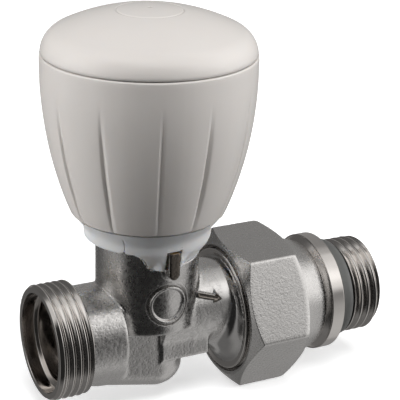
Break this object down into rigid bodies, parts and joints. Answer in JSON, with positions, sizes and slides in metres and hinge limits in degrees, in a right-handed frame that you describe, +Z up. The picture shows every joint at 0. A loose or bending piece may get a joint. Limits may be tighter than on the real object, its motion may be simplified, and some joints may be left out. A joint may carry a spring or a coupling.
{
  "type": "radiator valve",
  "caption": "Straight manual radiator valve: plated body with male pipe thread, union nut with threaded tailpiece, and a grooved handwheel on a base ring.",
  "frame": {"origin": "middle of the pipe-side thread, on the pipe axis", "axes": "+X along the water path to the radiator, +Z up the stem to the handwheel, -Y is the side that faces the room"},
  "size_m": [0.0759, 0.0432, 0.0834],
  "materials": {
    "cast_nickel": "nickel-plated brass casting, fine grain",
    "turned_nickel": "nickel-plated turned brass, bright",
    "satin_nickel": "nickel-plated forged brass, satin grain",
    "brass": "plain turned brass",
    "steel": "stainless steel",
    "ivory_plastic": "glossy warm white moulded plastic",
    "white_plastic": "cool white moulded plastic",
    "rubber": "matt black rubber"
  },
  "bodies": {
    "valve": {"valve_body": "cast_nickel", "valve_insert": "brass", "guide_bush": "brass", "insert_o_ring": "rubber", "gland_o_ring": "rubber", "gland_nut": "brass", "base_ring": "white_plastic", "handwheel_circlip": "steel"},
    "handwheel": {"handwheel_skirt": "ivory_plastic", "handwheel_cap": "ivory_plastic", "drive_nut": "brass"},
    "pusher": {"pusher": "white_plastic"},
    "stem": {"stem_pin": "steel", "closing_disc_holder": "brass", "seat_washer": "rubber", "washer_clip": "steel", "spring_retainer": "steel", "return_spring": "steel"},
    "tail": {"tailpiece": "turned_nickel", "tail_seal": "rubber", "union_o_ring": "rubber", "thrust_ring": "brass"},
    "nut": {"union_nut": "satin_nickel"}
  },
  "joints": [
    {"name": "handwheel_turn", "type": "hinge", "parent": "valve", "child": "handwheel", "pos_m": [0.02025, 0, 0.04], "axis": [0, 0, 1], "range_deg": [-720, 0]},
    {"name": "pusher_slide", "type": "slide", "parent": "valve", "child": "pusher", "axis": [0, 0, 1], "range_m": [-0.003, 0]},
    {"name": "stem_slide", "type": "slide", "parent": "valve", "child": "stem", "axis": [0, 0, 1], "range_m": [-0.003, 0], "deforming": ["return_spring"]},
    {"name": "tail_slide", "type": "slide", "parent": "valve", "child": "tail", "axis": [1, 0, 0], "range_m": [0, 0.00908]},
    {"name": "nut_turn", "type": "hinge", "parent": "tail", "child": "nut", "pos_m": [0.04, 0, 0], "axis": [1, 0, 0], "range_deg": [0, 1800]}
  ],
  "couplings": [
    {"joint": "pusher_slide", "follows": "handwheel_turn", "m_per_rad": 0.00023873},
    {"joint": "stem_slide", "follows": "handwheel_turn", "m_per_rad": 0.00023873},
    {"joint": "tail_slide", "follows": "nut_turn", "m_per_rad": 0.00028871}
  ]
}
